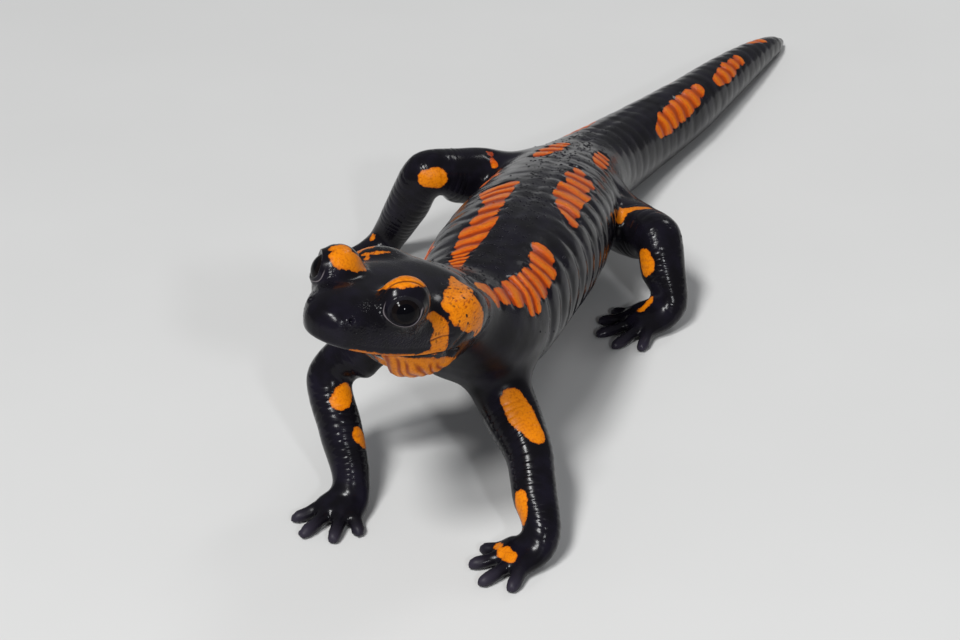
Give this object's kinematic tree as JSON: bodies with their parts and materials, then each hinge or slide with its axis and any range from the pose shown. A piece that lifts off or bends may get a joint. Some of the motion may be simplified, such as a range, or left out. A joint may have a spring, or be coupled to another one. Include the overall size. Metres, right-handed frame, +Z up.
{
  "type": "fire salamander",
  "caption": "Life-size still model of a fire salamander, standing with its fore body raised and its head turned to its right, black with orange markings.",
  "frame": {"origin": "on the floor under the middle of the model's box", "axes": "+X forward along the trunk, +Y to the animal's left, +Z up"},
  "size_m": [0.1852, 0.0586, 0.0418],
  "materials": {
    "skin": "wet, glossy, finely grained skin, black with orange markings",
    "eye": "wet, smooth, almost black eyeball"
  },
  "bodies": {
    "root": {"head": "skin", "lower_jaw": "skin", "parotoid_left": "skin", "parotoid_right": "skin", "neck": "skin", "trunk": "skin", "tail_base": "skin", "tail_middle": "skin", "tail_tip": "skin", "upper_arm_left": "skin", "forearm_left": "skin", "hand_left": "skin", "thigh_left": "skin", "shank_left": "skin", "foot_left": "skin", "upper_arm_right": "skin", "forearm_right": "skin", "hand_right": "skin", "thigh_right": "skin", "shank_right": "skin", "foot_right": "skin", "eye_left": "eye", "eye_right": "eye"}
  },
  "joints": []
}
